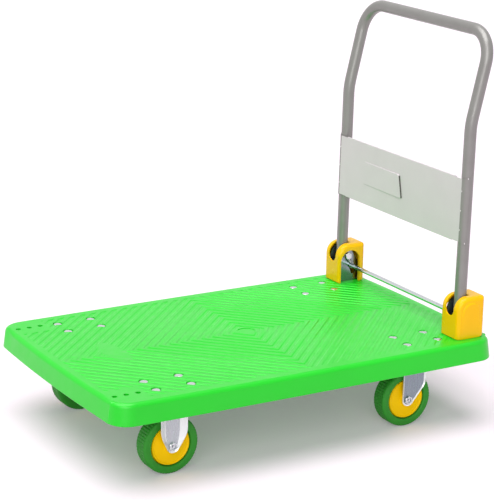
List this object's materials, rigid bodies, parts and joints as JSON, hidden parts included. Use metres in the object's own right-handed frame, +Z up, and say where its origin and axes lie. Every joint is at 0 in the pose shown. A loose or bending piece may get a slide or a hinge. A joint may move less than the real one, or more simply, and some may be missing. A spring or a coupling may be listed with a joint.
{
  "type": "folding platform trolley",
  "caption": "Low moulded platform on fixed and swivel casters, with a bent tube push handle that folds flat over the deck after a spring-held foot rod is pressed.",
  "frame": {"origin": "on the floor under the middle of the deck", "axes": "+X towards the handle end, +Y to the right of someone pushing, +Z up"},
  "size_m": [0.9, 0.574, 0.8308],
  "materials": {
    "deck_green": "moulded polypropylene, satin",
    "cover_yellow": "moulded ABS, semi-gloss",
    "tube_grey": "baked enamel on bent steel tube",
    "panel_silver": "silver enamel on sheet steel",
    "zinc": "bright zinc plate on pressed steel",
    "fastener_zinc": "bright zinc plate on steel fasteners",
    "spring_steel": "drawn steel wire",
    "bush_steel": "turned steel",
    "hub_yellow": "moulded polypropylene",
    "tyre_green": "moulded rubber"
  },
  "bodies": {
    "root": {"deck": "deck_green", "hinge_bracket_left": "zinc", "hinge_bracket_right": "zinc", "hinge_cover_left": "cover_yellow", "hinge_cover_right": "cover_yellow", "pivot_bolt_left": "fastener_zinc", "pivot_bolt_right": "fastener_zinc", "release_spring_left": "spring_steel", "release_spring_right": "spring_steel", "rigid_fork_left": "zinc", "rigid_fork_right": "zinc", "swivel_plate_left": "zinc", "swivel_plate_right": "zinc", "kingpin_left": "zinc", "kingpin_right": "zinc", "bracket_bolt_left_1": "fastener_zinc", "bracket_bolt_left_2": "fastener_zinc", "bracket_bolt_right_1": "fastener_zinc", "bracket_bolt_right_2": "fastener_zinc", "caster_bolt_front_left_1": "fastener_zinc", "caster_bolt_front_left_2": "fastener_zinc", "caster_bolt_front_left_3": "fastener_zinc", "caster_bolt_front_left_4": "fastener_zinc", "caster_bolt_front_right_1": "fastener_zinc", "caster_bolt_front_right_2": "fastener_zinc", "caster_bolt_front_right_3": "fastener_zinc", "caster_bolt_front_right_4": "fastener_zinc", "caster_bolt_rear_left_1": "fastener_zinc", "caster_bolt_rear_left_2": "fastener_zinc", "caster_bolt_rear_left_3": "fastener_zinc", "caster_bolt_rear_left_4": "fastener_zinc", "caster_bolt_rear_right_1": "fastener_zinc", "caster_bolt_rear_right_2": "fastener_zinc", "caster_bolt_rear_right_3": "fastener_zinc", "caster_bolt_rear_right_4": "fastener_zinc", "axle_bolt_front_left": "fastener_zinc", "axle_bolt_front_right": "fastener_zinc", "axle_nut_front_left": "fastener_zinc", "axle_nut_front_right": "fastener_zinc", "axle_bush_front_left": "bush_steel", "axle_bush_front_right": "bush_steel"},
    "handle": {"handle_tube": "tube_grey", "handle_panel": "panel_silver"},
    "release": {"release_rod": "zinc"},
    "swivel_left": {"swivel_fork_left": "zinc", "axle_bolt_rear_left": "fastener_zinc", "axle_nut_rear_left": "fastener_zinc", "axle_bush_rear_left": "bush_steel"},
    "swivel_right": {"swivel_fork_right": "zinc", "axle_bolt_rear_right": "fastener_zinc", "axle_nut_rear_right": "fastener_zinc", "axle_bush_rear_right": "bush_steel"},
    "wheel_front_left": {"wheel_hub_front_left": "hub_yellow", "tyre_front_left": "tyre_green"},
    "wheel_front_right": {"wheel_hub_front_right": "hub_yellow", "tyre_front_right": "tyre_green"},
    "wheel_rear_left": {"wheel_hub_rear_left": "hub_yellow", "tyre_rear_left": "tyre_green"},
    "wheel_rear_right": {"wheel_hub_rear_right": "hub_yellow", "tyre_rear_right": "tyre_green"}
  },
  "joints": [
    {"name": "handle_fold", "type": "hinge", "parent": "root", "child": "handle", "pos_m": [0.3815, 0, 0.2476], "axis": [0, -1, 0], "range_deg": [0, 90]},
    {"name": "release_slide", "type": "slide", "parent": "root", "child": "release", "axis": [0.342, 0, -0.9397], "range_m": [0, 0.016], "stiffness_N_per_m": 1500, "springref_m": -0.01, "deforming": ["release_spring_left", "release_spring_right"]},
    {"name": "swivel_left", "type": "hinge", "parent": "root", "child": "swivel_left", "pos_m": [0.2915, -0.1985, 0.1398], "axis": [0, 0, 1], "continuous": true},
    {"name": "swivel_right", "type": "hinge", "parent": "root", "child": "swivel_right", "pos_m": [0.2915, 0.1985, 0.1398], "axis": [0, 0, 1], "continuous": true},
    {"name": "roll_front_left", "type": "hinge", "parent": "root", "child": "wheel_front_left", "pos_m": [-0.2915, -0.1985, 0.06], "axis": [0, 1, 0], "continuous": true},
    {"name": "roll_front_right", "type": "hinge", "parent": "root", "child": "wheel_front_right", "pos_m": [-0.2915, 0.1985, 0.06], "axis": [0, 1, 0], "continuous": true},
    {"name": "roll_rear_left", "type": "hinge", "parent": "swivel_left", "child": "wheel_rear_left", "pos_m": [0.2631, -0.1985, 0.06], "axis": [0, 1, 0], "continuous": true},
    {"name": "roll_rear_right", "type": "hinge", "parent": "swivel_right", "child": "wheel_rear_right", "pos_m": [0.2631, 0.1985, 0.06], "axis": [0, 1, 0], "continuous": true}
  ]
}
